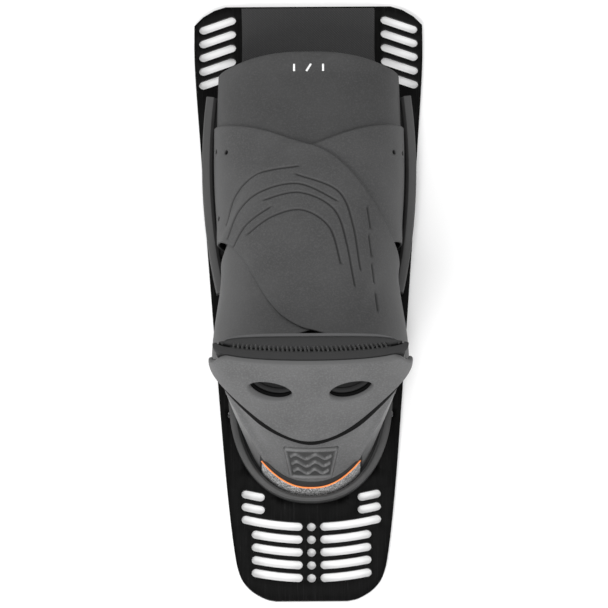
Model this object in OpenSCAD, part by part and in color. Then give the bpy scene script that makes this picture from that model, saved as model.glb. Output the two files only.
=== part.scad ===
// Water-ski binding: a rubber boot with crossed toe wraps and a tall finger-pull heel,
// clamped to a slotted mounting plate. Millimetres, +Y to the toe, +Z up, plate underside at z = 0.

/* [Mounting plate] */
// Length of the plate, heel end to toe end
plate_l = 423; // [420:1:426]
// Thickness of the plate
plate_t = 3; // [2.8:0.1:3]
// Radius of the arcs that all the slots follow
slot_arc_r = 190; // [180:5:200]
// Width of the slots and holes at the heel end
heel_slot_w = 6; // [5.4:0.1:6.2]
// Distance between the rows of slots at the heel end
heel_pitch = 8.75; // [8.5:0.05:9]
// Width of the slots at the toe end
toe_slot_w = 6.6; // [6:0.1:7]
// Distance between the rows of slots at the toe end
toe_pitch = 10.2; // [10:0.1:10.4]

/* [Toe piece] */
// Height of the toe box above the flange
toe_h = 38; // [34:1:42]
// Height of the instep above the flange
instep_h = 80; // [76:1:82]
// Half of the width of the toe piece at the ball of the foot
ball_w = 65.6; // [63:0.2:65.6]
// Thickness of each crossed wrap
wrap_t = 1.7; // [1.4:0.1:1.7]

/* [Heel piece] */
// Height of the collar above the plate's underside
collar_z = 117; // [112:1:120]
// Half of the width of the heel cup at its base
cup_w = 47.5; // [46:0.5:48]
// Thickness of the finger-pull flap
flap_t = 4; // [3:0.5:4]
// Width of a finger hole
finger_w = 27; // [24:1:30]
// Height of a finger hole
finger_h = 15; // [13:1:17]

/* [Hidden] */
$fn = 48;

gap = 0.3;                    // clear space between two layers
flange_top = plate_t + 2.9;   // top of the clamped rubber flanges
wall_z = flange_top + 0.1;    // where the boot's walls start
rail_top = 13;
rail_w = 7.2;
rail_r = 420;                 // radius of the toe rails' outer edge
rail_out_w = 74.2;            // half width over the rails at their widest
rail_mid_y = 92;              // where the rails are widest
rail_front = 142;
rail_back = 0;
screw_r = 1.7;
screw_hole_r = 1.78;
screw_head_r = 3.3;
toe_front = 156;
boot_back = -57;              // rear edge of the toe wraps
flange_back = -30;            // rear edge of the toe flanges and the toe liner
heel_y = -70;                 // where the heel's round back meets its straight arms
cup_depth = 69.8;             // heel_y to the back of the cup's base
heel_square = 0.9;            // 1 makes the heel's outline an ellipse, less makes it squarer
arm_l = 80;                   // length of arm for one unit of u past the round back
collar_y = -64;               // the middle of the collar's depth
collar_w = 62;                // half width of the cup's line at the collar
collar_depth = 5.9;           // collar_y to the cup's line at the collar's back
collar_bow = 3.4;             // how far the collar's ends stand ahead of its middle
band_u = 0.39;                // share of the cup's outline that the band covers, each side

// ---------- curves and sheets ----------

function smooth(s) = let (c = min(1, max(0, s))) c * c * (3 - 2 * c);
function bell(s) = exp(-s * s);
function power(v, p) = sign(v) * pow(abs(v), p);

// A closed loop of points through hand-set points, smoothed by a Catmull-Rom curve
function curve_point(a, b, c, d, s) =
    0.5 * ((2 * b) + (c - a) * s + (2 * a - 5 * b + 4 * c - d) * s * s
    + (3 * b - a - 3 * c + d) * s * s * s);
function open_curve(p, n) = [
    for (i = [0 : len(p) - 2], k = [0 : n - 1])
        curve_point(p[max(0, i - 1)], p[i], p[i + 1], p[min(len(p) - 1, i + 2)], k / n),
    p[len(p) - 1]
];
function mirrored(p) = concat(p, [for (i = [len(p) - 1 : -1 : 0]) [-p[i][0], p[i][1]]]);

// A round back, slightly squarer than an ellipse, with straight arms that run forward to y_end
function heel_round(size, u) =
    [size[0] * power(sin(90 * u), heel_square), heel_y - size[1] * power(cos(90 * u), heel_square)];
function u_outline(size, y_end, n = 40) = concat(
    [[size[0], y_end]],
    [for (i = [n : -1 : -n]) heel_round(size, i / n)],
    [[-size[0], y_end]]
);

// A closed sheet between two grids of points, rows by columns
module sheet(outer, inner) {
    rows = len(outer);
    cols = len(outer[0]);
    flat = concat([for (r = outer) each r], [for (r = inner) each r]);
    base = rows * cols;
    function at(i, j) = i * cols + j;
    faces = concat(
        [for (i = [0 : rows - 2], j = [0 : cols - 2]) each [
            [at(i, j), at(i, j + 1), at(i + 1, j + 1)],
            [at(i, j), at(i + 1, j + 1), at(i + 1, j)],
            [base + at(i, j), base + at(i + 1, j + 1), base + at(i, j + 1)],
            [base + at(i, j), base + at(i + 1, j), base + at(i + 1, j + 1)],
        ]],
        [for (i = [0 : rows - 2], j = [0, cols - 1]) each rim(at(i, j), at(i + 1, j), base, j == 0)],
        [for (j = [0 : cols - 2], i = [0, rows - 1]) each rim(at(i, j), at(i, j + 1), base, i != 0)]
    );
    polyhedron(points = flat, faces = faces, convexity = 8);
}
function rim(a, b, base, forward) = forward
    ? [[a, b, base + b], [a, base + b, base + a]]
    : [[b, a, base + a], [b, base + a, base + b]];

// ---------- the toe piece's surface ----------

function rail_out(y) = rail_out_w - (rail_r - sqrt(rail_r * rail_r - pow(y - rail_mid_y, 2)));
function toe_half(y) = ball_w - 4 * bell((y - 15) / 45) + 4 * smooth((10 - y) / 60);
function toe_base(y) = max(51.4, rail_out(y) - rail_w - 4.4 - 2 * smooth((60 - y) / 57));
function toe_top(y) = toe_h + (instep_h - toe_h) * pow(max(0, toe_front - 6 - y) / 205, 1.15);

// t runs from -1 at the left base over the foot to 1 at the right base; d is the distance outwards
function toe_point(t, y, d) =
    let (
        n = 2 / 2.6,
        across = power(sin(90 * t), n),
        rise = pow(abs(cos(90 * t)), n),
        half = toe_half(y) + d,
        pinch = 1 - (toe_base(y) + d) / half
    )
    [half * across * (1 - pinch * pow(1 - rise, 4)), y, wall_z + (toe_top(y) + d) * rise];

// A layer of the toe piece between two edges, each a function of t; lift adds to d
module toe_layer(front, back, d_in, d_out, lift = function (t, y) 0, cols = 28, rows = 12) {
    grid = function (d) [
        for (i = [0 : rows]) [
            for (j = [0 : cols])
                let (
                    t = -1 + 2 * j / cols,
                    y = back(t) + (front(t) - back(t)) * i / rows
                )
                toe_point(t, y, d + lift(t, y))
        ]
    ];
    sheet(grid(d_out), grid(d_in));
}

// Edges of the left wrap; the right wrap's are their mirror image
wrap_front = function (t) 15.3 - 8.8 * t + 93.6 / (1 + exp((t - 0.322) / 0.202));
wrap_back = function (t) boot_back + 88.5 / (1 + exp((t + 0.265) / 0.14));
cap_front = function (t) toe_front - 1.5 + 9.5 * pow(cos(90 * t), 3);

// The left wrap passes over the right one, and lies down on the cap where that one ends
over_right = function (t, y) (gap + wrap_t)
    * smooth((wrap_front(-t) - y + 14) / 9) * smooth((y - wrap_back(-t) + 14) / 9);

// ---------- the heel piece's surface ----------

// u runs round the back from -1 at the left arm to 1 at the right arm, and past them along the arms;
// w runs from 0 at the base to 1 at the collar; d is the distance outwards
function heel_point(u, w, d) =
    let (
        side = max(-1, min(1, u)),
        s = sin(90 * side),
        c = cos(90 * side),
        ahead = arm_l * max(0, abs(u) - 1),
        bulge = 1 + 0.08 * sin(180 * w),
        base = heel_round([cup_w + d, cup_depth + d], side) + [0, ahead],
        spread = d * (d > 0 ? 0.65 : 0.35),
        bow = collar_bow * abs(s) * smooth((d + 14) / 8),
        top = [
            (collar_w + spread) * power(s, 0.5),
            collar_y - (collar_depth + d) * power(c, 0.5) + bow + ahead,
        ],
        p = base + (top - base) * w
    )
    [p[0] * bulge, p[1], wall_z + (collar_z - wall_z) * w];

// A layer of the heel between two edges, each a function of u
module heel_layer(low, high, d_in, d_out, u_end = 1, cols = 28, rows = 8) {
    grid = function (d) [
        for (i = [0 : rows]) [
            for (j = [0 : cols])
                let (
                    u = u_end * (1 - 2 * j / cols),
                    w = low(u) + (high(u) - low(u)) * i / rows
                )
                heel_point(u, w, d)
        ]
    ];
    sheet(grid(d_in), grid(d_out));
}
level = function (v) function (x) v;

// The flap's V-shaped lower edge, and the edges of the layers that follow it
v_edge = function (u) 0.79 - 0.66 / (1 + exp(2 * pow(abs(u) / 0.45, 1.2)));
backing_edge = function (u) v_edge(u) - 0.09 - 0.07 * smooth(abs(u) * 3.2);
flap_top = function (u) 1 - 0.14 * smooth((abs(u) - 0.5) / 0.4);
pad_edge = function (u) v_edge(u) + 0.075;
band_edge = function (w) function (u) w + 0.6 * u * u;
cup_edge = function (u) abs(u) < 1 ? min(0.8, v_edge(u) + 0.04) : max(0.16, 0.8 - 2.6 * (abs(u) - 1));
liner_edge = function (u) min(0.5, cup_edge(u) - 0.03);

// ---------- the mounting plate ----------

plate_edge = [
    [0, plate_l / 2], [58, plate_l / 2], [66, plate_l / 2 - 2.6],
    [74, plate_l / 2 - 7.5], [80.1, plate_l / 2 - 14],
];
plate_side = [
    [80.1, plate_l / 2 - 14], [79.6, 165], [75.3, 104], [72, 53], [66.8, -15], [62, -76], [57.2, -132],
    [52.4, -174], [48.5, -193], [42, -203], [32, -209.5], [24, -plate_l / 2],
];

// A straight slot with round ends, l between the ends' centres
module straight_slot(l, w) {
    square([l, w], center = true);
    for (side = [-1, 1]) translate([side * l / 2, 0]) circle(d = w);
}

// A slot bent to the slot arc, from x_in to x_out to one side of the centre line, rising to x_out
module arc_slot(x_in, x_out, w) {
    a_in = asin(x_in / slot_arc_r);
    a_out = asin(x_out / slot_arc_r);
    reach = slot_arc_r + w;
    translate([0, slot_arc_r]) {
        intersection() {
            difference() {
                circle(r = slot_arc_r + w / 2, $fn = 360);
                circle(r = slot_arc_r - w / 2, $fn = 360);
            }
            polygon([[0, 0], reach * [sin(a_in), -cos(a_in)], reach * [sin(a_out), -cos(a_out)]]);
        }
        for (a = [a_in, a_out]) translate(slot_arc_r * [sin(a), -cos(a)]) circle(d = w);
    }
}

hole_rows = 5;
first_hole_y = -161;
toe_slot_rows = 5;
first_toe_slot = [63.8, 198.1];
toe_slot_l = 20.6;
toe_slot_a = 20;

module plate_openings() {
    for (i = [0 : hole_rows - 1]) translate([0, first_hole_y - i * heel_pitch]) {
        circle(d = heel_slot_w);
        for (side = [0, 1]) mirror([side, 0]) arc_slot(8.9, i == 0 ? 44.2 : 37.4, heel_slot_w);
    }
    // two short slots above the long rows, each side
    for (i = [1, 2], side = [0, 1])
        mirror([side, 0]) translate([0, first_hole_y + i * heel_pitch]) arc_slot(34.4, 44.2, heel_slot_w);
    // a hole beside the heel ring, each side
    for (side = [-1, 1]) translate([side * 53.6, -83]) circle(d = heel_slot_w);
    for (i = [0 : toe_slot_rows - 1], side = [0, 1]) mirror([side, 0])
        translate([first_toe_slot[0], first_toe_slot[1] - i * toe_pitch]) rotate(-toe_slot_a)
            straight_slot(toe_slot_l, toe_slot_w);
}

rail_screw_y = [125, 90, 55, 20];
ring_screw_u = [-0.9, -0.55, -0.2, 0.2, 0.55, 0.9];
function rail_screw(y) = [rail_out(y) - rail_w / 2, y];
function ring_screw(u) = heel_round(ring_mid, u);

module screw_sockets() {
    for (y = rail_screw_y, side = [-1, 1])
        translate([side * rail_screw(y)[0], y]) screw_socket();
    for (u = ring_screw_u) translate(ring_screw(u)) screw_socket();
}
module screw_socket() {
    translate([0, 0, -1]) cylinder(r = screw_hole_r, h = plate_t + 2);
    translate([0, 0, -0.01]) cylinder(r1 = screw_head_r + 0.12, r2 = screw_hole_r, h = 1.9);
}

module mounting_plate() {
    color([0.05, 0.05, 0.055]) difference() {
        linear_extrude(plate_t) difference() {
            polygon(mirrored(concat(plate_edge, open_curve(plate_side, 6))));
            plate_openings();
        }
        screw_sockets();
    }
}

// ---------- footbed ----------

footbed_side = [
    [46.9, 209.5], [46.6, 170], [49.5, 130], [50.5, 85], [47, 35], [40, -10], [36, -45], [35.8, heel_y],
];
module footbed_outline() {
    heel = [for (i = [1 : 16]) [35.8 * cos(90 * i / 16), heel_y - 56 * sin(90 * i / 16)]];
    polygon(mirrored(concat(open_curve(footbed_side, 5), heel)));
}
module footbed_pad() {
    color([0.1, 0.1, 0.11]) translate([0, 0, plate_t + 0.05]) linear_extrude(2.9) footbed_outline();
}
module footbed_cover() {
    color([0.16, 0.16, 0.17]) translate([0, 0, plate_t + 3]) linear_extrude(1) footbed_outline();
}

// ---------- flanges, rails, ring and screws ----------

module toe_flange() {
    ys = [for (i = [0 : 24]) rail_front + 1 + (flange_back - rail_front - 1) * i / 24];
    outer = [for (y = ys) [max(y > rail_back ? rail_out(y) : 0, toe_base(y) + 4.4), y]];
    inner = [for (i = [len(ys) - 1 : -1 : 0]) [toe_base(ys[i]) - 6, ys[i]]];
    color([0.13, 0.13, 0.135]) difference() {
        translate([0, 0, plate_t + 0.02]) linear_extrude(flange_top - plate_t - 0.02)
            polygon(concat(outer, inner));
        for (y = rail_screw_y) translate([rail_screw(y)[0], y, 0]) cylinder(r = screw_hole_r, h = 20);
    }
}

module toe_rail() {
    start = asin((rail_back - rail_mid_y) / rail_r);
    end = asin((rail_front - rail_mid_y) / rail_r);
    low = flange_top + 0.02;
    color([0.27, 0.27, 0.275]) difference() {
        translate([rail_out_w - rail_r, rail_mid_y, 0]) rotate([0, 0, start])
            rotate_extrude(angle = end - start, $fn = 360) polygon([
                [rail_r - rail_w, low], [rail_r, low], [rail_r, rail_top - 0.8], [rail_r - 0.8, rail_top],
                [rail_r - 5.2, rail_top], [rail_r - rail_w, rail_top - 2.6],
            ]);
        for (y = rail_screw_y) translate([rail_screw(y)[0], y, 0]) cylinder(r = screw_hole_r, h = 11.2);
    }
}

ring_out = [55.8, 75.2];
ring_in = [49.8, 71];
ring_lip_in = [51.2, 72.6];   // inner outline of the ring's upright lip
ring_foot_top = 9;            // top of the ring's wider foot
ring_mid = (ring_out + ring_in) / 2;
ring_front = -59;
heel_flange_front = -38;

module heel_flange() {
    color([0.13, 0.13, 0.135]) difference() {
        translate([0, 0, plate_t + 0.02]) linear_extrude(flange_top - plate_t - 0.02) difference() {
            polygon(u_outline(ring_out, heel_flange_front));
            polygon(u_outline([cup_w - 8.3, cup_depth - 8.3], heel_flange_front + 1));
        }
        for (u = ring_screw_u) translate(ring_screw(u)) cylinder(r = screw_hole_r, h = 20);
    }
}

module ring_part(out, in, low, high) {
    translate([0, 0, low]) linear_extrude(high - low) difference() {
        polygon(u_outline(out, ring_front));
        polygon(u_outline(in, ring_front + 1));
    }
}
module heel_ring() {
    edge = 0.8;
    color([0.27, 0.27, 0.275]) difference() {
        union() {
            ring_part(ring_out, ring_in, flange_top + 0.02, ring_foot_top);
            ring_part(ring_out, ring_lip_in, ring_foot_top, rail_top - edge);
            ring_part(ring_out - [edge, edge], ring_lip_in + [edge, edge] / 2, rail_top - edge, rail_top);
        }
        for (u = ring_screw_u) translate(ring_screw(u)) cylinder(r = screw_hole_r, h = ring_foot_top - 0.2);
    }
}

module countersunk_screw(length) {
    cylinder(r1 = screw_head_r, r2 = screw_r, h = 1.8);
    cylinder(r = screw_r, h = length);
}
// The driver recess is cut from the head's face
module screw_with_recess(length) {
    difference() {
        countersunk_screw(length);
        translate([0, 0, -0.01]) cylinder(r = 1.15, h = 1.1, $fn = 6);
    }
}
module toe_rail_screws() {
    color([0.7, 0.7, 0.72]) for (y = rail_screw_y)
        translate([rail_screw(y)[0], y, 0.02]) screw_with_recess(11);
}
module heel_ring_screws() {
    color([0.7, 0.7, 0.72]) for (u = ring_screw_u)
        translate([ring_screw(u)[0], ring_screw(u)[1], 0.02]) screw_with_recess(ring_foot_top - 0.4);
}

// ---------- toe piece ----------

module toe_liner() {
    color([0.1, 0.1, 0.105]) toe_layer(level(toe_front - 6), level(flange_back), -5.6, -2.4 - gap);
}
module toe_cap() {
    color([0.3, 0.3, 0.305]) toe_layer(cap_front, level(60), -2.4, 0);
}
module right_wrap() {
    color([0.29, 0.29, 0.295]) toe_layer(
        function (t) wrap_front(-t), function (t) wrap_back(-t), gap, gap + wrap_t);
}
module left_wrap() {
    color([0.3, 0.3, 0.305]) toe_layer(wrap_front, wrap_back, gap, gap + wrap_t, over_right);
}

// ---------- heel piece, fixed part ----------

module heel_cup() {
    color([0.36, 0.36, 0.365]) heel_layer(level(0), cup_edge, -3.5, 0, u_end = 1.4, cols = 36);
}
module heel_cup_liner() {
    color([0.1, 0.1, 0.105])
        heel_layer(level(0), liner_edge, -8, -3.5 - gap, u_end = 1.4, cols = 36);
}
module heel_badge() {
    color([0.33, 0.33, 0.335])
        heel_layer(level(0.125), level(0.345), 0.1, 1, u_end = 0.135, cols = 12, rows = 4);
}
module heel_band_border() {
    color([0.06, 0.06, 0.065])
        heel_layer(band_edge(0.069), band_edge(0.1), 0.1, 0.7, u_end = band_u, cols = 20, rows = 2);
}
module heel_piping() {
    color([0.95, 0.42, 0.16])
        heel_layer(band_edge(0.054), band_edge(0.066), 0.1, 1.4, u_end = band_u, cols = 20, rows = 2);
}
module heel_band() {
    color([0.5, 0.5, 0.5])
        heel_layer(level(0.004), band_edge(0.051), 0.1, 0.9, u_end = band_u, cols = 20, rows = 2);
}

// ---------- heel piece, the part that flexes back ----------

flap_d = 3.3;      // inner face of the flap
flap_u = 0.93;     // the flap stops short of the arms
lip_d = -16.2;     // front face of the collar's lining
stitch_count = 31;

module finger_cutters() {
    for (side = [-1, 1]) {
        middle = heel_point(side * 0.11, 0.806, flap_d);
        translate([side * 25.5, middle[1], middle[2]]) rotate([58, 0, 0]) rotate([0, 0, side * 11])
            linear_extrude(30, center = true) ellipse(finger_w, finger_h);
    }
}
module ellipse(w, h) {
    polygon([for (i = [0 : 23]) [w / 2 * cos(15 * i), h / 2 * sin(15 * i)]]);
}

module heel_flap_backing() {
    color([0.07, 0.07, 0.075]) difference() {
        heel_layer(backing_edge, function (u) flap_top(u) - 0.015, 0.5, 2.9, u_end = flap_u);
        finger_cutters();
    }
}
module heel_flap() {
    color([0.43, 0.43, 0.435]) difference() {
        heel_layer(v_edge, flap_top, flap_d, flap_d + flap_t, u_end = flap_u);
        finger_cutters();
    }
}
module collar_outer_pad() {
    color([0.17, 0.17, 0.175]) difference() {
        heel_layer(pad_edge, level(0.997), -3.1, 0.1, cols = 24, rows = 5);
        finger_cutters();
    }
}
module collar_seam() {
    color([0.1, 0.1, 0.105])
        heel_layer(function (u) pad_edge(u) + 0.03, level(0.96), -5.9, -3.2, cols = 24, rows = 3);
}
module collar_inner_pad() {
    color([0.15, 0.15, 0.155])
        heel_layer(pad_edge, level(0.99), -12.3, -6, u_end = 0.97, cols = 24, rows = 5);
}
module collar_lining() {
    color([0.3, 0.3, 0.305])
        heel_layer(pad_edge, level(0.985), lip_d, -12.4, u_end = 0.87, cols = 24, rows = 5);
}
module collar_stitching() {
    color([0.04, 0.04, 0.045]) for (i = [0 : stitch_count - 1]) {
        p = heel_point(0.55 * (2 * i / (stitch_count - 1) - 1), 0.968, -4.5);
        translate([p[0], p[1] - 0.9, p[2]]) rotate([-90, 0, 0]) cylinder(r = 0.5, h = 1.8, $fn = 16);
    }
}

mounting_plate();
footbed_pad();
footbed_cover();
mirror([1, 0, 0]) toe_flange();  // toe_flange_left
toe_flange();  // toe_flange_right
mirror([1, 0, 0]) toe_rail();  // toe_rail_left
toe_rail();  // toe_rail_right
mirror([1, 0, 0]) toe_rail_screws();  // toe_rail_screws_left
toe_rail_screws();  // toe_rail_screws_right
toe_liner();
toe_cap();
right_wrap();
left_wrap();
heel_flange();
heel_ring();
heel_ring_screws();
heel_cup();
heel_cup_liner();
heel_badge();
heel_band_border();
heel_piping();
heel_band();
heel_flap_backing();
heel_flap();
collar_outer_pad();
collar_seam();
collar_inner_pad();
collar_lining();
collar_stitching();
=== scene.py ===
import copy
import math

import bpy
import numpy as np
from mathutils import Matrix, Vector
from mathutils.geometry import delaunay_2d_cdt


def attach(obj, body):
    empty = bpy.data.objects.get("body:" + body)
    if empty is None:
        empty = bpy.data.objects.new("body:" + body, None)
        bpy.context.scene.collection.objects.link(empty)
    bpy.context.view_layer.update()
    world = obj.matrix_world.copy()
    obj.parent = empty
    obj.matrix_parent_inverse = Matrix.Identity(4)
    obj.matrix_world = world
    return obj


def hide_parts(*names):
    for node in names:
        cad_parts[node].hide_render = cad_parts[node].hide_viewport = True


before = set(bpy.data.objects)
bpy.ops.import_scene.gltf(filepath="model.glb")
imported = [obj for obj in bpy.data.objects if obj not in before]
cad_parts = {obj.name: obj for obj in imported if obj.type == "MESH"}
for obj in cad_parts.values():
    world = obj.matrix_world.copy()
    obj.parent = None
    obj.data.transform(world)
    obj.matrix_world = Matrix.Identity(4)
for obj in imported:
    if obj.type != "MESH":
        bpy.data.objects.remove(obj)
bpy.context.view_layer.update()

# Sizes are in millimetres, in the CAD's frame: +Y to the toe, +Z up. MM turns them into metres.
MM = 0.001

# ---------- the boot's two curved surfaces, the same as the CAD's ----------

GAP = 0.3
WALL_Z = 6.0
WRAP_T = 1.7
TOE_FRONT = 156.0
BOOT_BACK = -57.0
LINER_BACK = -30.0
TOE_H = 38.0
INSTEP_H = 80.0
BALL_W = 65.6
TOE_BASE_W = 51.4
TOE_SQUARE = 2 / 2.6
RAIL_R = 420.0
RAIL_W = 7.2
RAIL_OUT_W = 74.2
RAIL_MID_Y = 92.0
HEEL_Y = -70.0
HEEL_SQUARE = 0.9
CUP_W = 47.5
CUP_DEPTH = 69.8
ARM_L = 80.0
COLLAR_Y = -64.0
COLLAR_W = 62.0
COLLAR_DEPTH = 5.9
COLLAR_BOW = 3.4
COLLAR_Z = 117.0
FLAP_U = 0.93
BAND_U = 0.458


def smooth(s):
    c = np.clip(s, 0, 1)
    return c * c * (3 - 2 * c)


def power(v, p):
    return np.sign(v) * np.abs(v) ** p


def rail_out(y):
    return RAIL_OUT_W - (RAIL_R - np.sqrt(RAIL_R**2 - (y - RAIL_MID_Y) ** 2))


def toe_half(y):
    """Half of the toe piece's width, at its widest height."""
    return BALL_W - 4.0 * np.exp(-(((y - 15) / 45) ** 2)) + 4 * smooth((10 - y) / 60)


def toe_base(y):
    """Half of its width at the plate, where it's pinched in beside the rails."""
    return np.maximum(TOE_BASE_W, rail_out(y) - RAIL_W - 4.4 - 2 * smooth((60 - y) / 57))


def toe_top(y):
    """Its height, which rises from the toe to the instep."""
    return TOE_H + (INSTEP_H - TOE_H) * (np.maximum(0, TOE_FRONT - 6 - y) / 205) ** 1.15


def toe_point(t, y, d):
    """t runs from -1 at the left base over the foot to 1 at the right one. d is the distance outwards."""
    half = toe_half(y) + d
    across = power(np.sin(t * np.pi / 2), TOE_SQUARE)
    rise = np.maximum(0, np.cos(t * np.pi / 2)) ** TOE_SQUARE
    pinch = 1 - (toe_base(y) + d) / half
    x = half * across * (1 - pinch * (1 - rise) ** 4)
    return np.stack([x, y, WALL_Z + (toe_top(y) + d) * rise], 1)


def heel_point(u, w, d):
    """u runs round the back from -1 to 1 and on along the arms, w from the base to the collar."""
    side = np.clip(u, -1, 1)
    s = np.sin(side * np.pi / 2)
    c = np.maximum(0, np.cos(side * np.pi / 2))
    ahead = ARM_L * np.maximum(0, np.abs(u) - 1)
    spread = d * np.where(d > 0, 0.65, 0.35)
    bow = COLLAR_BOW * np.abs(s) * smooth((d + 14) / 8)
    base_x = (CUP_W + d) * power(s, HEEL_SQUARE)
    base_y = HEEL_Y - (CUP_DEPTH + d) * c**HEEL_SQUARE + ahead
    top_x = (COLLAR_W + spread) * power(s, 0.5)
    top_y = COLLAR_Y - (COLLAR_DEPTH + d) * c**0.5 + bow + ahead
    x = (base_x + (top_x - base_x) * w) * (1 + 0.08 * np.sin(w * np.pi))
    return np.stack([x, base_y + (top_y - base_y) * w, WALL_Z + (COLLAR_Z - WALL_Z) * w], 1)


HALF_ROW = 2000


class Sheet:
    """A curved surface laid out flat in millimetres: across a row at one level, and tall up the wall."""

    def __init__(self, surface, reach, level, tall):
        v = np.linspace(-1, 1, 2 * HALF_ROW + 1)
        self.surface, self.tall = surface, tall
        self.u = reach * np.sign(v) * v**2
        row = surface(self.u, np.full(len(v), level), np.zeros(len(v)))
        steps = np.linalg.norm(np.diff(row, axis=0), axis=1)
        self.across = np.r_[0, np.cumsum(steps)]
        self.across -= self.across[HALF_ROW]

    def flat(self, u, w):
        return np.stack([np.interp(u, self.u, self.across), w * self.tall + 0 * u], 1)

    def solid(self, points, d):
        return self.surface(np.interp(points[:, 0], self.across, self.u), points[:, 1] / self.tall, d)

    def on(self, surface):
        """The same layout on another surface."""
        other = copy.copy(self)
        other.surface = surface
        return other


class Level:
    """The flat plate, where the distance from the surface is the height."""

    def solid(self, points, d):
        return np.stack([points[:, 0], points[:, 1], d], 1)


def wrap_front(t):
    return 15.3 - 8.8 * t + 93.6 / (1 + np.exp((t - 0.322) / 0.202))


def wrap_back(t):
    return BOOT_BACK + 88.5 / (1 + np.exp((t + 0.265) / 0.14))


def cap_front(t):
    return TOE_FRONT - 1.5 + 9.5 * np.cos(t * np.pi / 2) ** 3


def v_edge(u):
    return 0.79 - 0.66 / (1 + np.exp(2 * (np.abs(u) / 0.45) ** 1.2))


def backing_edge(u):
    return v_edge(u) - 0.07 - 0.055 * smooth(np.abs(u) * 3.2)


def pad_edge(u):
    return v_edge(u) + 0.075


def cup_edge(u):
    ahead = np.maximum(0.16, 0.8 - 2.6 * (np.abs(u) - 1))
    return np.where(np.abs(u) < 1, np.minimum(0.8, v_edge(u) + 0.04), ahead)


def level(v):
    return lambda x: v + 0 * x


# ---------- closed shells with rounded edges, cut to an outline on a surface ----------


def closed(loop):
    """The loop as a line that comes back to its first point."""
    return np.vstack([loop, loop[:1]])


def resampled(loop, step):
    """A closed loop of points at an even spacing."""
    line = closed(loop)
    lengths = np.r_[0, np.cumsum(np.linalg.norm(np.diff(line, axis=0), axis=1))]
    count = max(12, int(round(lengths[-1] / step)))
    places = np.linspace(0, lengths[-1], count, endpoint=False)
    return np.stack([np.interp(places, lengths, line[:, k]) for k in (0, 1)], 1)


def rounded(loop, radius, step):
    """The loop with its corners rounded off."""
    reach = max(1, int(round(1.6 * radius / step)))
    offsets = np.arange(-reach, reach + 1)
    weights = np.exp(-((offsets * step / (0.75 * radius)) ** 2))
    weights /= weights.sum()
    return sum(w * np.roll(loop, k, axis=0) for w, k in zip(weights, offsets))


def area(loop):
    """The loop's area, positive when it runs anticlockwise."""
    x, y = loop.T
    return 0.5 * np.sum(x * np.roll(y, -1) - np.roll(x, -1) * y)


def inset(loop, distance):
    """The loop moved to its left by a distance, which is inwards when it runs anticlockwise."""
    along = np.roll(loop, -1, axis=0) - np.roll(loop, 1, axis=0)
    along /= np.linalg.norm(along, axis=1, keepdims=True)
    return loop + distance * np.stack([-along[:, 1], along[:, 0]], 1)


def inside(points, loop):
    """Whether each point is inside a loop."""
    x, y = points[:, :1], points[:, 1:]
    ax, ay = loop.T
    bx, by = np.roll(loop, -1, axis=0).T
    crosses = (ay > y) != (by > y)
    with np.errstate(divide="ignore", invalid="ignore"):
        hits = crosses & (x < (bx - ax) * (y - ay) / (by - ay) + ax)
    return hits.sum(1) % 2 == 1


def distance_to(points, line):
    """Distance from each point to a line of points, taken segment by segment."""
    best = np.full(len(points), 1e9)
    for a, b in zip(line[:-1], line[1:]):
        run = b - a
        share = np.clip((points - a) @ run / (run @ run + 1e-12), 0, 1)
        best = np.minimum(best, np.linalg.norm(points - a - share[:, None] * run, axis=1))
    return best


def smooth_line(points, step):
    """A curve through given points, at an even spacing."""
    p = np.array([points[0], *points, points[-1]], float)
    s = np.linspace(0, 1, 24, endpoint=False)[:, None]
    parts = [
        0.5 * (2 * b + (c - a) * s + (2 * a - 5 * b + 4 * c - d) * s**2 + (3 * b - a - 3 * c + d) * s**3)
        for a, b, c, d in zip(p[:-3], p[1:-2], p[2:-1], p[3:])
    ]
    line = np.vstack([*parts, p[-1:]])
    lengths = np.r_[0, np.cumsum(np.linalg.norm(np.diff(line, axis=0), axis=1))]
    places = np.linspace(0, lengths[-1], max(2, int(lengths[-1] / step)))
    return np.stack([np.interp(places, lengths, line[:, k]) for k in (0, 1)], 1)


def finish_mesh(name, points, faces, attributes=None):
    """A smooth-shaded object from points in millimetres."""
    mesh = bpy.data.meshes.new(name)
    mesh.from_pydata((np.asarray(points) * MM).tolist(), [], faces)
    for key, values in (attributes or {}).items():
        layer = mesh.attributes.new(key, "FLOAT", "POINT")
        layer.data.foreach_set("value", np.asarray(values, np.float32))
    mesh.shade_smooth()
    mesh.update()
    piece = bpy.data.objects.new(name, mesh)
    bpy.context.scene.collection.objects.link(piece)
    return piece


def within(points, loops):
    """Whether each point is inside the first loop and outside the others."""
    keep = inside(points, loops[0])
    for loop in loops[1:]:
        keep &= ~inside(points, loop)
    return keep


MOST_RIM = 0.46
RIM_STEPS = 4
LINE_REACH = 1.6


def rolled_rims(loops, rim, thick):
    """The rows of points that lead each loop round its rim: places, heights and distances from the edge,
    then the rows' edges, and where each loop starts."""
    turn = np.linspace(0, math.pi / 2, RIM_STEPS + 1)
    insets = rim * (1 - np.cos(turn))
    heights = thick / 2 - rim + rim * np.sin(turn)
    points, height, depth, edges, starts = [], [], [], [], []
    start = 0
    for loop in loops:
        count = len(loop)
        starts.append((start, count))
        for e, h in zip(insets, heights):
            points.append(inset(loop, e))
            height.append(np.full(count, h))
            depth.append(np.full(count, e))
            edges += [(start + i, start + (i + 1) % count) for i in range(count)]
            start += count
    return points, height, depth, edges, starts


def rows_beside(line):
    """Seven rows of points along a line, across the width that its groove takes."""
    along = np.gradient(line, axis=0)
    along /= np.linalg.norm(along, axis=1, keepdims=True) + 1e-9
    across = LINE_REACH * np.stack([-along[:, 1], along[:, 0]], 1)
    return np.vstack([line + side * across for side in (-1.0, -0.62, -0.3, 0.0, 0.3, 0.62, 1.0)])


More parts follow.
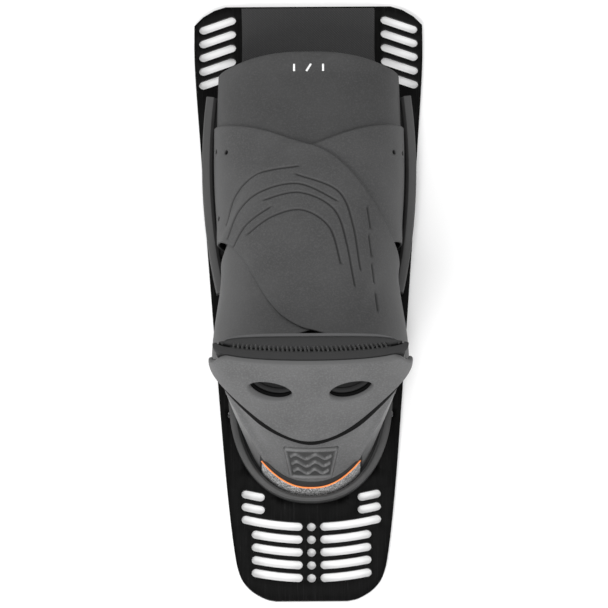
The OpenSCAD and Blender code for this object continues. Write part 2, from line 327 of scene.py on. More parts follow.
def face_points(loops, rim, spacing, lines):
    """Points over the face, closer together along the lines, and how far each is from an edge."""
    low, high = loops[0].min(0), loops[0].max(0)
    columns = np.arange(low[0], high[0], spacing)
    rows = np.arange(low[1], high[1], spacing * 0.866)
    grid = np.array([(x + (j % 2) * spacing / 2, y) for j, y in enumerate(rows) for x in columns])
    if lines:
        clear = np.min([distance_to(grid, line) for line in lines], axis=0)
        grid = np.vstack([grid[clear > LINE_REACH + spacing * 0.4], *map(rows_beside, lines)])
    clear = np.min([distance_to(grid, closed(loop)) for loop in loops], axis=0)
    keep = within(grid, loops) & (clear > rim + min(0.5 * spacing, 0.9))
    return grid[keep], clear[keep]


def triangulated(flat, edges, loops):
    """Points and faces between the loops. first is the given point that each one is, or -1 if it is new,
    and back leads from a given point to its new number."""
    made, _, faces, origin, _, _ = delaunay_2d_cdt([Vector(p) for p in flat], edges, [], 0, 1e-7)
    first = np.array([o[0] if o else -1 for o in origin])
    back = {i: n for n, o in enumerate(origin) for i in o}
    points = np.where(first[:, None] < 0, np.array([tuple(v) for v in made]), flat[first])
    faces = np.array([tuple(f) for f in faces])
    return points, faces[within(points[faces].mean(1), loops)], first, back


def shell(name, sheet, outline, d_in, d_out, holes=(), rim=None, spacing=2.0, corner=3.0,
          relief=None, painted_shade=None, lines=(), dark_holes=False):
    """A closed shell between two distances from a surface. outline and holes are loops in millimetres,
    on the sheet laid out flat. relief moves the outer face, the shade argument paints shade into its
    grooves and recesses, lines get finer faces, and dark_holes paints shade on the walls of the holes."""
    thick = d_out - d_in
    rim = min(rim or MOST_RIM * thick, MOST_RIM * thick)
    border = resampled(outline if area(outline) > 0 else outline[::-1], spacing * 0.6)
    loops = [rounded(border, corner, spacing * 0.6)] + [h if area(h) < 0 else h[::-1] for h in holes]
    points, height, depth, edges, starts = rolled_rims(loops, rim, thick)
    face, clear = face_points(loops, rim, spacing, lines)
    height = np.concatenate([*height, np.full(len(face), thick / 2)])
    depth = np.concatenate([*depth, clear])
    flat, faces, first, back = triangulated(np.vstack([*points, face]), edges, loops)
    height = np.where(first < 0, thick / 2, height[first])
    depth = np.where(first < 0, rim, depth[first])
    centre = (d_in + d_out) / 2
    outer = sheet.solid(flat, centre + height + (relief(flat) if relief else 0))
    inner = sheet.solid(flat, centre - height)
    a, b, c = (outer[faces[:, k]] for k in range(3))
    facing = np.einsum("ij,ij->i", np.cross(b - a, c - a), (outer - inner)[faces[:, 0]])
    turned = np.median(facing) < 0
    if turned:
        faces = faces[:, ::-1]
    n = len(flat)
    solid = [tuple(f) for f in faces.tolist()] + [tuple(n + i for i in f[::-1]) for f in faces.tolist()]
    for start, count in starts:
        for i in range(count):
            j, k = back[start + i], back[start + (i + 1) % count]
            solid.append((j, k, n + k, n + j) if turned else (k, j, n + j, n + k))
    # How far in from the rim, for the rubber's edge tone: lighter scuffed rims, and a painted shadow line
    # along the wraps' edges.
    from_rim = np.clip(depth / 3.0, 0, 1)
    # Painted shade: darker where the caller marks grooves and recesses, and on the walls of the holes.
    dark = painted_shade(flat) if painted_shade else np.zeros(n)
    if dark_holes:
        walls = np.min([distance_to(flat, closed(hole)) for hole in loops[1:]], axis=0)
        dark = np.maximum(dark, smooth((0.55 - walls) / 0.3))
    attributes = {"rim": np.r_[from_rim, from_rim], "painted_shade": np.r_[dark, dark]}
    return finish_mesh(name, np.vstack([outer, inner]), solid, attributes)


def between(sheet, low, high, end=1.0, count=240):
    """The outline of a layer that runs from -end to end, between two edges."""
    v = np.linspace(-1, 1, count)
    u = end * np.sign(v) * np.abs(v) ** 1.5
    return np.vstack([sheet.flat(u, low(u)), sheet.flat(u, high(u))[::-1]])


def ring_of(centre, radius, count):
    turn = np.linspace(0, 2 * math.pi, count, endpoint=False)
    return np.array(centre) + radius * np.stack([np.cos(turn), np.sin(turn)], 1)


def tube(name, lines, radius, sides=8):
    """One mesh of closed round tubes along lines of points in millimetres."""
    points, faces = [], []
    for line in lines:
        line = np.asarray(line, float)
        along = np.gradient(line, axis=0)
        along /= np.linalg.norm(along, axis=1, keepdims=True)
        up = np.array([0.0, 0.3, 1.0])
        across = np.cross(along, up)
        across /= np.linalg.norm(across, axis=1, keepdims=True)
        over = np.cross(across, along)
        start = len(points)
        for k, place in enumerate(line):
            for i in range(sides):
                turn = 2 * math.pi * i / sides
                points.append(place + radius * (math.cos(turn) * across[k] + math.sin(turn) * over[k]))
        for k in range(len(line) - 1):
            for i in range(sides):
                a, b = start + k * sides + i, start + k * sides + (i + 1) % sides
                faces.append((a, b, b + sides, a + sides))
        last = start + (len(line) - 1) * sides
        faces.append(tuple(start + i for i in reversed(range(sides))))
        faces.append(tuple(last + i for i in range(sides)))
    return finish_mesh(name, points, faces)


# ---------- materials ----------


def node(tree, kind, inputs=None, **settings):
    made = tree.nodes.new("ShaderNode" + kind)
    for key, value in settings.items():
        setattr(made, key, value)
    for key, value in (inputs or {}).items():
        if isinstance(value, bpy.types.NodeSocket):
            tree.links.new(value, made.inputs[key])
        else:
            made.inputs[key].default_value = value
    return made


def new_material(name, **constants):
    made = bpy.data.materials.new(name)
    made.use_nodes = True
    shader = made.node_tree.nodes["Principled BSDF"]
    for key, value in constants.items():
        shader.inputs[key.replace("_", " ").title().replace("Ior", "IOR")].default_value = value
    return made, made.node_tree, shader


def place(tree, stretch=(1, 1, 1)):
    coordinates = node(tree, "TexCoord").outputs["Object"]
    return node(tree, "Mapping", {"Vector": coordinates, "Scale": stretch}).outputs["Vector"]


def noise(tree, vector, size_mm, detail=2.0, roughness=0.5):
    inputs = {"Vector": vector, "Scale": 1 / (size_mm * MM), "Detail": detail, "Roughness": roughness}
    return node(tree, "TexNoise", inputs).outputs["Fac"]


def ramp(tree, factor, stops):
    made = node(tree, "ValToRGB", {"Fac": factor})
    elements = made.color_ramp.elements
    while len(elements) < len(stops):
        elements.new(0.5)
    for element, (position, value) in zip(elements, stops):
        element.position = position
        element.color = (value, value, value, 1) if isinstance(value, (int, float)) else (*value, 1)
    return made.outputs["Color"]


def mix(tree, factor, a, b):
    made = node(tree, "Mix", {0: factor, 6: a, 7: b}, data_type="RGBA")
    return made.outputs[2]


def rgba(value, tint=(1, 1, 1)):
    return tuple(value * k for k in tint) + (1,)


def arithmetic(tree, operation, a, b):
    return node(tree, "Math", {0: a, 1: b}, operation=operation).outputs[0]


def bump(tree, shader, height, strength, distance_mm):
    inputs = {"Height": height, "Strength": strength, "Distance": distance_mm * MM}
    tree.links.new(node(tree, "Bump", inputs).outputs["Normal"], shader.inputs["Normal"])


def rubber(name, value, roughness=0.6, edge_wear_and_shadow=1.2, grain=0.6, shine=0.4):
    """Moulded rubber: fine grain, cloudy tone, and painted shade in grooves and on hole walls. The edge
    factor sets the rims' tone: above 1 they are lighter, like scuffed edges, and below 1 it paints a shadow
    line along them.
    """
    tint = (1, 1, 1.01)
    made, tree, shader = new_material(name, specular_ior_level=shine)
    vector = place(tree)
    cloudy = noise(tree, vector, 28, 4)
    fine = noise(tree, vector, 1.2, 4, 0.7)
    clouds = ramp(tree, cloudy, [(0.3, 0), (0.7, 1)])
    tone = mix(tree, clouds, rgba(value * 0.86, tint), rgba(value * 1.12, tint))
    speck = ramp(tree, fine, [(0.46, 0), (0.7, 0.8)])
    tone = mix(tree, speck, tone, rgba(value * 1.65, tint))
    edge = node(tree, "Attribute", attribute_name="rim").outputs["Fac"]
    # Toward the rims the tone moves to the base times the edge factor: above 1 the rims turn lighter, like
    # scuffed edges; below 1 they get a painted shadow line.
    rim_wear_and_shadow = ramp(tree, edge, [(0.0, 0.75), (0.45, 0.0)])
    tone = mix(tree, rim_wear_and_shadow, tone, rgba(value * edge_wear_and_shadow, tint))
    # Painted shade in grooves, recesses and on hole walls: the tone there drops to about a fifth.
    painted_shade = node(tree, "Attribute", attribute_name="painted_shade").outputs["Fac"]
    tone = mix(tree, painted_shade, tone, rgba(value * 0.22, tint))
    tree.links.new(tone, shader.inputs["Base Color"])
    rough = ramp(tree, fine, [(0.2, roughness - 0.09), (0.8, roughness + 0.12)])
    tree.links.new(rough, shader.inputs["Roughness"])
    bump(tree, shader, fine, grain, 0.12)
    return made


def fabric(name, value, thread_mm, sheen=0.05, strength=0.7):
    """Woven or knitted cloth: crossing threads with painted shade in the gaps between them, slubs and a soft
    sheen.
    """
    tint = (1, 1, 1.02)
    made, tree, shader = new_material(name, sheen_weight=sheen, sheen_roughness=0.5, roughness=0.88)
    vector = place(tree)
    wobble = noise(tree, vector, thread_mm * 3, 2)
    threads = {"Vector": vector, "Scale": 0.31 / (thread_mm * MM), "Distortion": 1.2, "Detail": 1.0}
    warp = node(tree, "TexWave", threads, bands_direction="X").outputs["Fac"]
    weft = node(tree, "TexWave", threads, bands_direction="DIAGONAL").outputs["Fac"]
    weave = arithmetic(tree, "MULTIPLY", warp, weft)
    height = arithmetic(tree, "ADD", weave, wobble)
    # Painted shade: the tone follows the weave's height, darker in the gaps between threads and lighter on
    # the raised ones.
    raised = ramp(tree, weave, [(0.0, 0), (0.6, 1)])
    tone = mix(tree, raised, rgba(value * 0.45, tint), rgba(value * 1.3, tint))
    slub = ramp(tree, noise(tree, vector, 6, 4), [(0.35, 0), (0.7, 0.55)])
    tone = mix(tree, slub, tone, rgba(value * 0.7, tint))
    tree.links.new(tone, shader.inputs["Base Color"])
    bump(tree, shader, height, strength, 0.25)
    return made


def brushed_plate(name):
    """Black anodised sheet, brushed along Y, with bright scratches and grey dust."""
    made, tree, shader = new_material(name, specular_ior_level=0.06)
    along = place(tree, (1, 0.02, 1))
    lines = noise(tree, along, 0.55, 6, 0.75)
    coarse = noise(tree, along, 3.5, 3, 0.6)
    tone = ramp(tree, lines, [(0.5, 0.001), (0.66, 0.006), (0.82, 0.11)])
    streak = ramp(tree, coarse, [(0.55, 0.0), (0.9, 0.35)])
    tone = mix(tree, streak, tone, (0.012, 0.012, 0.013, 1))
    tree.links.new(tone, shader.inputs["Base Color"])
    tree.links.new(ramp(tree, lines, [(0.3, 0.3), (0.75, 0.52)]), shader.inputs["Roughness"])
    bump(tree, shader, lines, 0.35, 0.05)
    return made


def satin_plastic(name, value):
    """Moulded rail plastic with a fine stipple and a scuffed tone."""
    made, tree, shader = new_material(name, specular_ior_level=0.35)
    vector = place(tree)
    stipple = noise(tree, vector, 0.6, 2)
    scuff = noise(tree, place(tree, (1, 0.15, 1)), 7, 5, 0.65)
    tone = mix(tree, ramp(tree, scuff, [(0.35, 0), (0.75, 1)]), rgba(value * 0.85), rgba(value * 1.3))
    tree.links.new(tone, shader.inputs["Base Color"])
    tree.links.new(ramp(tree, scuff, [(0.3, 0.42), (0.7, 0.6)]), shader.inputs["Roughness"])
    bump(tree, shader, stipple, 0.4, 0.08)
    return made


def steel(name):
    """Turned steel, dulled in patches."""
    made, tree, shader = new_material(name, metallic=1.0)
    turned = noise(tree, place(tree), 1.2, 4)
    tree.links.new(ramp(tree, turned, [(0.3, 0.42), (0.7, 0.62)]), shader.inputs["Base Color"])
    tree.links.new(ramp(tree, turned, [(0.3, 0.22), (0.7, 0.4)]), shader.inputs["Roughness"])
    bump(tree, shader, turned, 0.15, 0.04)
    return made


def sparkle(name):
    """A strip of fine silver flakes: every small cell has its own brightness, a painted glint of flakes
    turned different ways.
    """
    made, tree, shader = new_material(name, metallic=0.35)
    inputs = {"Vector": place(tree), "Scale": 1 / (0.55 * MM)}
    cells = node(tree, "TexVoronoi", inputs)
    flake = node(tree, "SeparateColor", {"Color": cells.outputs["Color"]}).outputs["Red"]
    # Painted glints: each flake's colour is set brighter or darker at random.
    tree.links.new(ramp(tree, flake, [(0.1, 0.1), (0.55, 0.3), (0.95, 0.8)]), shader.inputs["Base Color"])
    tree.links.new(ramp(tree, flake, [(0.2, 0.5), (0.9, 0.25)]), shader.inputs["Roughness"])
    bump(tree, shader, cells.outputs["Distance"], 0.35, 0.1)
    return made


def orange_bead(name):
    """Orange rubber cord, brighter in patches."""
    made, tree, shader = new_material(name, specular_ior_level=0.5)
    cloudy = noise(tree, place(tree), 2.5, 4)
    tone = mix(tree, cloudy, (0.78, 0.17, 0.03, 1), (1.0, 0.33, 0.08, 1))
    tree.links.new(tone, shader.inputs["Base Color"])
    tree.links.new(ramp(tree, cloudy, [(0.2, 0.38), (0.8, 0.55)]), shader.inputs["Roughness"])
    bump(tree, shader, cloudy, 0.2, 0.08)
    return made


def thread(name, value):
    """Twisted thread, with painted shade in the grooves of the twist."""
    made, tree, shader = new_material(name, roughness=0.7, sheen_weight=0.3)
    twist = node(tree, "TexWave", {"Vector": place(tree), "Scale": 900, "Distortion": 2.0},
                 bands_direction="DIAGONAL").outputs["Fac"]
    # Painted shade: the tone follows the twist, darker in its grooves and lighter on its ridges.
    tree.links.new(ramp(tree, twist, [(0.1, value * 0.5), (0.9, value * 1.6)]), shader.inputs["Base Color"])
    bump(tree, shader, twist, 0.5, 0.1)
    return made


def ink(name):
    """White print, a little patchy."""
    made, tree, shader = new_material(name, roughness=0.55)
    patchy = noise(tree, place(tree), 0.8, 4)
    tree.links.new(ramp(tree, patchy, [(0.3, 0.7), (0.6, 0.86)]), shader.inputs["Base Color"])
    bump(tree, shader, patchy, 0.2, 0.03)
    return made


MATERIALS = {
    "plate": brushed_plate("black_brushed_plate"),
    "foam": rubber("footbed_foam_black", 0.012, 0.8),
    "cover_fabric": fabric("footbed_weave", 0.03, 0.9, strength=0.9),
    "dark_rubber": rubber("flange_rubber", 0.012, 0.65),
    "rail_plastic": satin_plastic("rail_plastic_grey", 0.052),
    "steel": steel("turned_steel"),
    "lining_fabric": fabric("liner_knit", 0.008, 0.7, sheen=0.0),
    "cap_rubber": rubber("cap_rubber_grey", 0.034, 0.62),
    # The wraps' rims are painted darker: a painted shadow line along their cut edges.
    "wrap_rubber": rubber("wrap_rubber_grey", 0.044, 0.6, edge_wear_and_shadow=0.5),
    "cup_rubber": rubber("cup_rubber_grey", 0.082, 0.42, edge_wear_and_shadow=1.25),
    "reflective": sparkle("sparkle_strip"),
    "orange_rubber": orange_bead("orange_bead_rubber"),
    "flap_foam": rubber("flap_foam_grey", 0.078, 0.58, edge_wear_and_shadow=0.85, grain=0.45),
    "backing_foam": rubber("backing_foam_black", 0.004, 0.8, edge_wear_and_shadow=1.0, shine=0.1),
    "collar_foam": fabric("collar_knit", 0.022, 0.6, sheen=0.0, strength=0.4),
    "lip_fabric": fabric("lip_knit", 0.085, 0.6, sheen=0.0, strength=0.4),
    "thread": thread("black_thread", 0.004),
}


def dress(piece, slot, body=None, replaced=()):
    """Gives a piece its material, and a new piece its body, and hides the CAD nodes it stands for."""
    piece.data.materials.clear()
    piece.data.materials.append(MATERIALS[slot])
    if body:
        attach(piece, body)
    if replaced:
        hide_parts(*replaced)
    return piece


# ---------- the plate and the pieces clamped to it ----------


def softened(name, width_mm, angle=35):
    """A CAD node with its edges broken, its shape kept."""
    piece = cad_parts[name]
    piece.data.shade_smooth()
    piece.data.set_sharp_from_angle(angle=math.radians(angle))
    weld = piece.modifiers.new("weld", "WELD")
    weld.merge_threshold = 1e-6
    bevel = piece.modifiers.new("bevel", "BEVEL")
    bevel.width = width_mm * MM
    bevel.segments = 2
    bevel.limit_method = "ANGLE"
    bevel.angle_limit = math.radians(angle)
    return piece


dress(softened("mounting_plate", 0.35), "plate")
for side in ("left", "right"):
    dress(softened(f"toe_flange_{side}", 0.3), "dark_rubber")
    dress(softened(f"toe_rail_{side}", 0.4, 25), "rail_plastic")
    dress(softened(f"toe_rail_screws_{side}", 0.08), "steel")
dress(softened("heel_flange", 0.3), "dark_rubber")
dress(softened("heel_ring", 0.4, 25), "rail_plastic")
dress(softened("heel_ring_screws", 0.08), "steel")

FOOTBED_SIDE = [
    (46.9, 209.5), (46.6, 170), (49.5, 130), (50.5, 85), (47, 35), (40, -10), (36, -45), (35.8, HEEL_Y),
]
side_line = smooth_line(FOOTBED_SIDE, 2)
turn = np.linspace(0, math.pi / 2, 20)[1:]
heel_line = np.stack([35.8 * np.cos(turn), HEEL_Y - 56 * np.sin(turn)], 1)
half_outline = np.vstack([side_line, heel_line])
footbed_outline = np.vstack([half_outline, (half_outline * [-1, 1])[::-1][1:]])


def quilted(points):
    """The cloth's own slight unevenness."""
    x, y = points.T
    return 0.12 * np.sin(x * 0.31 + 1.3 * np.sin(y * 0.05)) * np.sin(y * 0.23 + 0.7) - 0.12


FLAT = Level()
pad = shell("footbed_pad_soft", FLAT, footbed_outline, 3.06, 5.94, spacing=5, corner=1.5, rim=0.5)
dress(pad, "foam", "base", ["footbed_pad"])
cover_outline = inset(footbed_outline[::-1], 0.4)
cover = shell("footbed_cover_woven", FLAT, cover_outline, 5.98, 7.02, spacing=3, corner=1.5, relief=quilted)
dress(cover, "cover_fabric", "base", ["footbed_cover"])

# ---------- toe piece ----------


def over_right(t, y):
    """How far the left wrap stands off the cap: it passes over the right wrap only where that one is."""
    ahead = smooth((wrap_front(-t) - y + 16) / 14)
    behind = smooth((y - wrap_back(-t) + 26) / 24)
    return (GAP + WRAP_T) * ahead * behind


def corner_flare(t, y, back):
    """The rear corner of a wrap stands away from the boot's side."""
    up_the_side = smooth((np.abs(t) - 0.5) / 0.25) * smooth((1 - np.abs(t)) / 0.14)
    return 1.5 * up_the_side * np.exp(-(((y - back) / 13) ** 2))


def left_wrap_point(t, y, d):
    flare = np.where(t < 0, corner_flare(t, y, wrap_back(t)), 0)
    return toe_point(t, y, d + over_right(t, y) + flare)


def right_wrap_point(t, y, d):
    return toe_point(t, y, d + np.where(t > 0, corner_flare(t, y, wrap_back(-t)), 0))


TOE = Sheet(toe_point, 1.0, 60.0, 1.0)
LEFT_WRAP = TOE.on(left_wrap_point)
RIGHT_WRAP = TOE.on(right_wrap_point)


def soft_swell(points, size=0.35):
    """The low, uneven swell of a rubber panel that was formed by hand."""
    a, b = points.T
    return size * (np.sin(a * 0.052 + 0.4) * np.sin(b * 0.043 + 1.1) + 0.4 * np.sin(a * 0.11 + b * 0.07))


GROOVE_W = 0.6
GROOVE_DEPTH = 0.7


def flow_line(points):
    """A groove's path over the left wrap, from given points of t and y."""
    points = np.array(points, float)
    return smooth_line(TOE.flat(points[:, 0], points[:, 1]), 0.7)


# Nested strokes that climb from the left, turn a corner over the instep and run back to the right
FLOW_LINES = [
    flow_line([
        (-0.62 + 0.09 * s, 40 - 28 * s),
        (-0.50 + 0.13 * s, 58 - 30 * s),
        (-0.30 + 0.12 * s, 71 - 32 * s),
        (-0.04 + 0.02 * s, 76 - 33 * s),
        (0.14 - 0.06 * s, 64 - 34 * s),
        (0.25 - 0.11 * s, 38 - 34 * s),
        (0.30 - 0.13 * s, 6 - 30 * s),
    ][first:last])
    for s, first, last in ((0, 0, 4), (0.2, 3, 7), (0.4, 0, 5), (0.6, 2, 7), (0.8, 0, 3), (1, 1, 6))
]
FLOW_LINES += [flow_line([(0.33 + 0.02 * k, 46 - 21 * k), (0.36 + 0.01 * k, 32 - 20 * k)]) for k in range(4)]


def groove_share(points, lines=FLOW_LINES, width=GROOVE_W):
    near = np.min([distance_to(points, line) for line in lines], axis=0)
    return np.exp(-((near / width) ** 4))


EYELET_R = 1.4
LEFT_EYELETS = [(-0.777, 96.9), (-0.59, 92.6), (-0.9, 53.9), (-0.775, 47.5)]
RIGHT_EYELETS = [(0.621, 92.6), (0.8, 95.5), (0.9, 53.1)]


def eyelets(places, lowest=-100.0):
    t, y = np.array([place for place in places if place[1] > lowest]).T
    return [ring_of(centre, EYELET_R, 14) for centre in TOE.flat(t, y)]


def toe_outline(front, back):
    return between(TOE, back, front)


liner_outline = toe_outline(level(TOE_FRONT - 6), level(LINER_BACK))
liner = shell("toe_liner_knit", TOE, liner_outline, -5.6, -2.7, spacing=4)
dress(liner, "lining_fabric", "base", ["toe_liner"])
cap = shell("toe_cap_moulded", TOE, toe_outline(cap_front, level(60)), -2.4, 0.0, spacing=2.6, corner=1.5,
            holes=eyelets(LEFT_EYELETS + RIGHT_EYELETS, 70), dark_holes=True,
            relief=lambda p: soft_swell(p, 0.25) * smooth((150 - p[:, 1]) / 30))
dress(cap, "cap_rubber", "base", ["toe_cap"])
right_outline = toe_outline(lambda t: wrap_front(-t), lambda t: wrap_back(-t))
right_wrap = shell("right_wrap_moulded", RIGHT_WRAP, right_outline, GAP, GAP + WRAP_T,
                   holes=eyelets(RIGHT_EYELETS), dark_holes=True, spacing=2.2, corner=1.0)
dress(right_wrap, "wrap_rubber", "base", ["right_wrap"])
# The left wrap's flow grooves are cut into it and painted darker as shade.
left_wrap = shell("left_wrap_moulded", LEFT_WRAP, toe_outline(wrap_front, wrap_back), GAP, GAP + WRAP_T,
                  holes=eyelets(LEFT_EYELETS), dark_holes=True, spacing=2.0, corner=1.0, lines=FLOW_LINES,
                  relief=lambda p: soft_swell(p, 0.15) - GROOVE_DEPTH * groove_share(p), painted_shade=groove_share)
dress(left_wrap, "wrap_rubber", "base", ["left_wrap"])

tick_lines = []
tick_row = toe_point(TOE.u, np.full(len(TOE.u), 152.0), 0.0)[:, 0]
for x_front, x_back in ((-10.0, -10.0), (1.6, -1.6), (10.0, 10.0)):
    t = np.interp(np.linspace(x_back, x_front, 10), tick_row, TOE.u)
    tick_lines.append(toe_point(t, np.linspace(149.6, 154.8, 10), np.full(10, -0.25)))
ticks = tube("size_ticks_printed", tick_lines, 0.8)
ticks.data.materials.append(ink("white_ink"))
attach(ticks, "base")

# ---------- heel piece, fixed part ----------

CUP = Sheet(heel_point, 1.6, 0.3, 125.0)
BASE = Sheet(heel_point, 1.6, 0.05, 125.0)
COLLAR = Sheet(heel_point, 1.6, 0.85, 125.0)

RIDGE_U = np.array([0.335, 0.36, 0.41, 0.47, 0.54, 0.62, 0.7])
RIDGE_W = np.array([0.2, 0.26, 0.34, 0.43, 0.52, 0.6, 0.68])
RIDGE = smooth_line(CUP.flat(RIDGE_U, RIDGE_W), 2)
RIDGE_H = 2.6
rim_u = np.linspace(-0.6, 0.6, 60)
CUP_RIM = CUP.flat(rim_u, backing_edge(rim_u) - 0.012)


def cup_relief(points):
    """Two soft ridges where the flat back meets the sides, and one under the flap's edge."""
    away = np.minimum(distance_to(points, RIDGE), distance_to(points * [-1, 1], RIDGE))
    ridge = RIDGE_H * np.exp(-((away / 2.8) ** 2))
    rim = np.exp(-((distance_to(points, CUP_RIM) / 2.0) ** 2))
    return ridge + rim + soft_swell(points, 0.12)


ARM_END = 1.4
cup_outline = between(CUP, level(0), cup_edge, ARM_END)
cup = shell("heel_cup_moulded", CUP, cup_outline, -3.5, -0.1, spacing=2.2, corner=1.5, relief=cup_relief)
dress(cup, "cup_rubber", "base", ["heel_cup"])
cup_liner_outline = between(CUP, level(0), lambda u: np.minimum(0.5, cup_edge(u) - 0.03), ARM_END)
cup_liner = shell("heel_cup_liner_knit", CUP, cup_liner_outline, -8.0, -3.8, spacing=4)
dress(cup_liner, "lining_fabric", "base", ["heel_cup_liner"])

BADGE_U = 0.135
badge_outline = between(CUP, level(0.125), level(0.345), BADGE_U)
badge_size = np.ptp(badge_outline, axis=0)
badge_middle = badge_outline.min(0) + badge_size / 2
badge_frame = rounded(resampled(inset(resampled(badge_outline, 0.8), 1.6), 0.8), 3, 0.8)
badge_frame = closed(badge_frame)
wave_x = np.linspace(-0.5, 0.5, 60)
badge_waves = [
    np.stack([badge_middle[0] + wave_x * (badge_size[0] - 9),
              badge_middle[1] + rise * badge_size[1] + 1.8 * np.sin(wave_x * 4 * math.pi)], 1)
    for rise in (-0.24, 0.0, 0.24)
]
badge_lines = [badge_frame, *badge_waves]


def badge_share(points):
    return groove_share(points, badge_lines, 1.0)


# The badge's field around its raised lines is painted darker as shade, so the lines stand light on a dark
# ground.
badge = shell("heel_badge_waves", CUP, badge_outline, 0.0, 0.35, spacing=0.55, corner=2.0, rim=0.15,
              relief=lambda p: 1.25 * badge_share(p), painted_shade=lambda p: 0.9 * (1 - badge_share(p)))
dress(badge, "cup_rubber", "base", ["heel_badge"])


def band_edge(w, half):
    """The band's top edge, which curves up to the ends and comes down there nearly upright."""
    return lambda u: np.maximum(0.004, np.minimum(w + 0.6 * u * u, 0.004 + 2 * (half - np.abs(u))))


recess_outline = between(BASE, level(-0.002), band_edge(0.1, BAND_U + 0.03), BAND_U + 0.028)
recess = shell("heel_band_recess", BASE, recess_outline, 0.08, 0.5, spacing=1.6, corner=0.4)
dress(recess, "dark_rubber", "base", ["heel_band_border"])
strip_outline = between(BASE, level(0.002), band_edge(0.058, BAND_U), BAND_U - 0.002)
strip = shell("heel_band_sparkle", BASE, strip_outline, 0.55, 1.05, spacing=1.4, corner=0.4)
dress(strip, "reflective", "base", ["heel_band"])
bead_u = np.linspace(-0.388, 0.388, 100)
bead_line = heel_point(bead_u, 0.063 + 0.6 * bead_u**2, np.full(100, 0.9))
bead = tube("heel_piping_bead", [bead_line], 0.55, 10)
dress(bead, "orange_rubber", "base", ["heel_piping"])

# ---------- heel piece, the part that flexes back ----------

FLAP_D = 3.3
FLAP_T = 4.0
DENSE_U = np.linspace(-0.6, 0.6, 1201)
FINGER_X = 25.5
FINGER_W = 0.815
FINGER_TILT = 11
WALL_LEAN = 0.848  # cosine of the wall's lean, about 32 degrees


def finger_hole(side, d, grow=0.0):
    """The outline of a finger hole, an ellipse that leans with the wall, on the collar sheet."""
    turn = np.linspace(0, 2 * math.pi, 72, endpoint=False)
    long_way, short_way = (13.8 + grow) * np.cos(turn), (8.0 + grow) * np.sin(turn)
    tilt = math.radians(FINGER_TILT) * side
    x = side * FINGER_X + long_way * math.cos(tilt) - short_way * math.sin(tilt)
    up = long_way * math.sin(tilt) + short_way * math.cos(tilt) - 1.0
    w = FINGER_W + up * WALL_LEAN / (COLLAR_Z - WALL_Z)
    same = np.ones(len(DENSE_U))
    u = [np.interp(a, heel_point(DENSE_U, b * same, d * same)[:, 0], DENSE_U) for a, b in zip(x, w)]
    return COLLAR.flat(np.array(u), w)


def finger_holes(d, grow=0.0):
    return [finger_hole(side, d, grow) for side in (-1, 1)]


def flap_top(u):
    """The flap's top edge, lower at the ears."""
    return 1.0 - 0.14 * smooth((np.abs(u) - 0.5) / 0.4)


flap_outline = between(COLLAR, v_edge, flap_top, FLAP_U)
flap = shell("heel_flap_moulded", COLLAR, flap_outline, FLAP_D, FLAP_D + FLAP_T, holes=finger_holes(FLAP_D),
             spacing=2.2, corner=3.0, rim=1.3, relief=lambda p: soft_swell(p, 0.25))
dress(flap, "flap_foam", "heel_upper", ["heel_flap"])
inner_holes = finger_holes(FLAP_D, 0.6)
backing_outline = between(COLLAR, backing_edge, lambda u: flap_top(u) - 0.06, FLAP_U)
backing = shell("heel_flap_backing_knit", COLLAR, backing_outline, 0.5, 2.9, holes=inner_holes,
                dark_holes=True, spacing=3, corner=2.5)
dress(backing, "backing_foam", "heel_upper", ["heel_flap_backing"])


def rear_lip(points):
    """The rear pad rolls back over the backing, up to the flap."""
    return 2.7 * smooth((points[:, 1] / COLLAR.tall - 0.95) / 0.02)


outer_pad_outline = between(COLLAR, pad_edge, level(0.995), 1)
outer_pad = shell("collar_outer_pad_soft", COLLAR, outer_pad_outline, -3.1, 0.1, holes=inner_holes,
                  dark_holes=True, spacing=2.4, corner=3, rim=1.2, relief=rear_lip)
inner_pad_outline = between(COLLAR, pad_edge, level(0.992), 0.985)
inner_pad = shell("collar_inner_pad_soft", COLLAR, inner_pad_outline, -13.8, -6.0, spacing=2.6,
                  corner=3, rim=2.0)
for piece, cad in ((outer_pad, "collar_outer_pad"), (inner_pad, "collar_inner_pad")):
    dress(piece, "collar_foam", "heel_upper", [cad])
valley_outline = between(COLLAR, lambda u: pad_edge(u) + 0.03, level(0.965), 0.99)
valley = shell("collar_seam_valley", COLLAR, valley_outline, -5.9, -3.2, spacing=3, corner=2)
dress(valley, "lining_fabric", "heel_upper", ["collar_seam"])
lip_outline = between(COLLAR, pad_edge, level(0.987), 0.93)
lip = shell("collar_lip_lining", COLLAR, lip_outline, -16.2, -14.1, spacing=2.6, corner=3, rim=0.9)
dress(lip, "lip_fabric", "heel_upper", ["collar_lining"])

# Each stitch crosses the seam from the front pad to the rear one: its places across, up and outwards
STITCH_PITCH = 2.9
STITCH_X = np.array([-0.5, -0.2, 0.1, 0.35, 0.5])
STITCH_W = np.array([0.976, 0.988, 0.994, 0.988, 0.976])
STITCH_D = np.array([-8.2, -6.6, -4.6, -2.8, -1.6])
seam_u = np.linspace(-0.75, 0.75, 2001)
seam_x = heel_point(seam_u, np.full(2001, 0.98), np.full(2001, -4.5))[:, 0]
stitch_lines = []
for x in np.arange(-50, 50.1, STITCH_PITCH):
    stitch_lines.append(heel_point(np.interp(x + STITCH_X, seam_x, seam_u), STITCH_W, STITCH_D))
lace_x = np.linspace(-52, 52, 160)
lace = np.interp(lace_x, seam_x, seam_u)
stitch_lines.append(heel_point(lace, np.full(160, 0.978), np.full(160, -4.0)))
dress(tube("collar_stitch_thread", stitch_lines, 0.6, 8), "thread", "heel_upper", ["collar_stitching"])

# ---------- floor, light and camera ----------

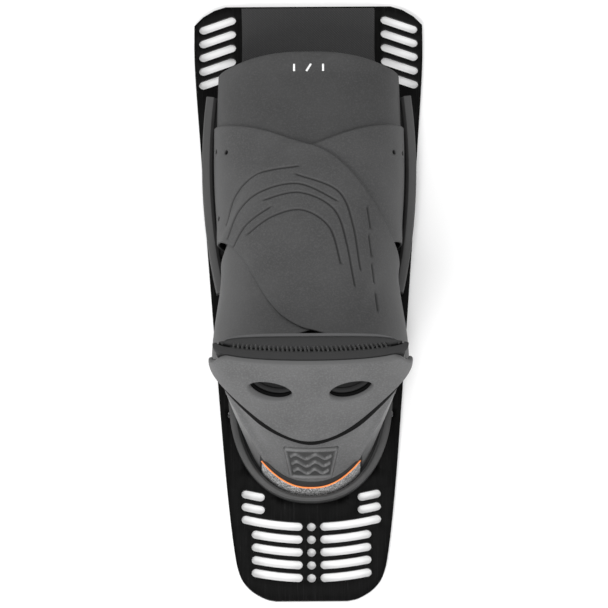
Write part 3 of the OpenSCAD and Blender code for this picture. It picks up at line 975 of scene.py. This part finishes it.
bpy.ops.mesh.primitive_plane_add(size=8, location=(0, 0, -0.0006))
floor = bpy.context.object
floor.name = "floor"
pale, tree, shader = new_material("pale_floor", roughness=0.9, specular_ior_level=0.2)
tone = ramp(tree, noise(tree, place(tree), 400, 2), [(0.3, 0.93), (0.7, 0.95)])
tree.links.new(tone, shader.inputs["Base Color"])
floor.data.materials.append(pale)


def area_light(name, location, target, size, power_w):
    light = bpy.data.lights.new(name, "AREA")
    light.size = size
    light.energy = power_w
    lamp = bpy.data.objects.new(name, light)
    bpy.context.scene.collection.objects.link(lamp)
    lamp.location = location
    lamp.rotation_euler = (Vector(target) - Vector(location)).to_track_quat("-Z", "Y").to_euler()


area_light("key", (-0.4, -1.5, 1.4), (0, -0.08, 0.03), 0.9, 28)
area_light("side_left", (-1.5, 0.1, 0.8), (0, 0, 0.03), 0.6, 12)
area_light("side_right", (1.5, -0.3, 0.8), (0, 0, 0.03), 0.6, 8)
area_light("top", (0, 0.3, 2.2), (0, 0, 0), 1.2, 14)
world = bpy.data.worlds.new("studio")
world.use_nodes = True
world.node_tree.nodes["Background"].inputs["Color"].default_value = (1, 1, 1, 1)
world.node_tree.nodes["Background"].inputs["Strength"].default_value = 0.5
bpy.context.scene.world = world
bpy.context.scene.view_settings.view_transform = "Standard"

ELEVATION = math.radians(75)
ROLL = math.radians(-0.33)
DISTANCE = 2.244
AIM = Vector((-0.0041, -0.0053, 0.003))
forward = Vector((0, math.cos(ELEVATION), -math.sin(ELEVATION)))
level_up = Vector((0, math.sin(ELEVATION), math.cos(ELEVATION)))
right = math.cos(ROLL) * Vector((1, 0, 0)) + math.sin(ROLL) * level_up
up = math.cos(ROLL) * level_up - math.sin(ROLL) * Vector((1, 0, 0))
lens = bpy.data.cameras.new("camera")
lens.sensor_width = 36
lens.lens = 193.26
camera = bpy.data.objects.new("camera", lens)
axes = Matrix((right, up, -forward)).transposed().to_4x4()
camera.matrix_world = Matrix.Translation(AIM - forward * DISTANCE) @ axes
bpy.context.scene.collection.objects.link(camera)
bpy.context.scene.camera = camera
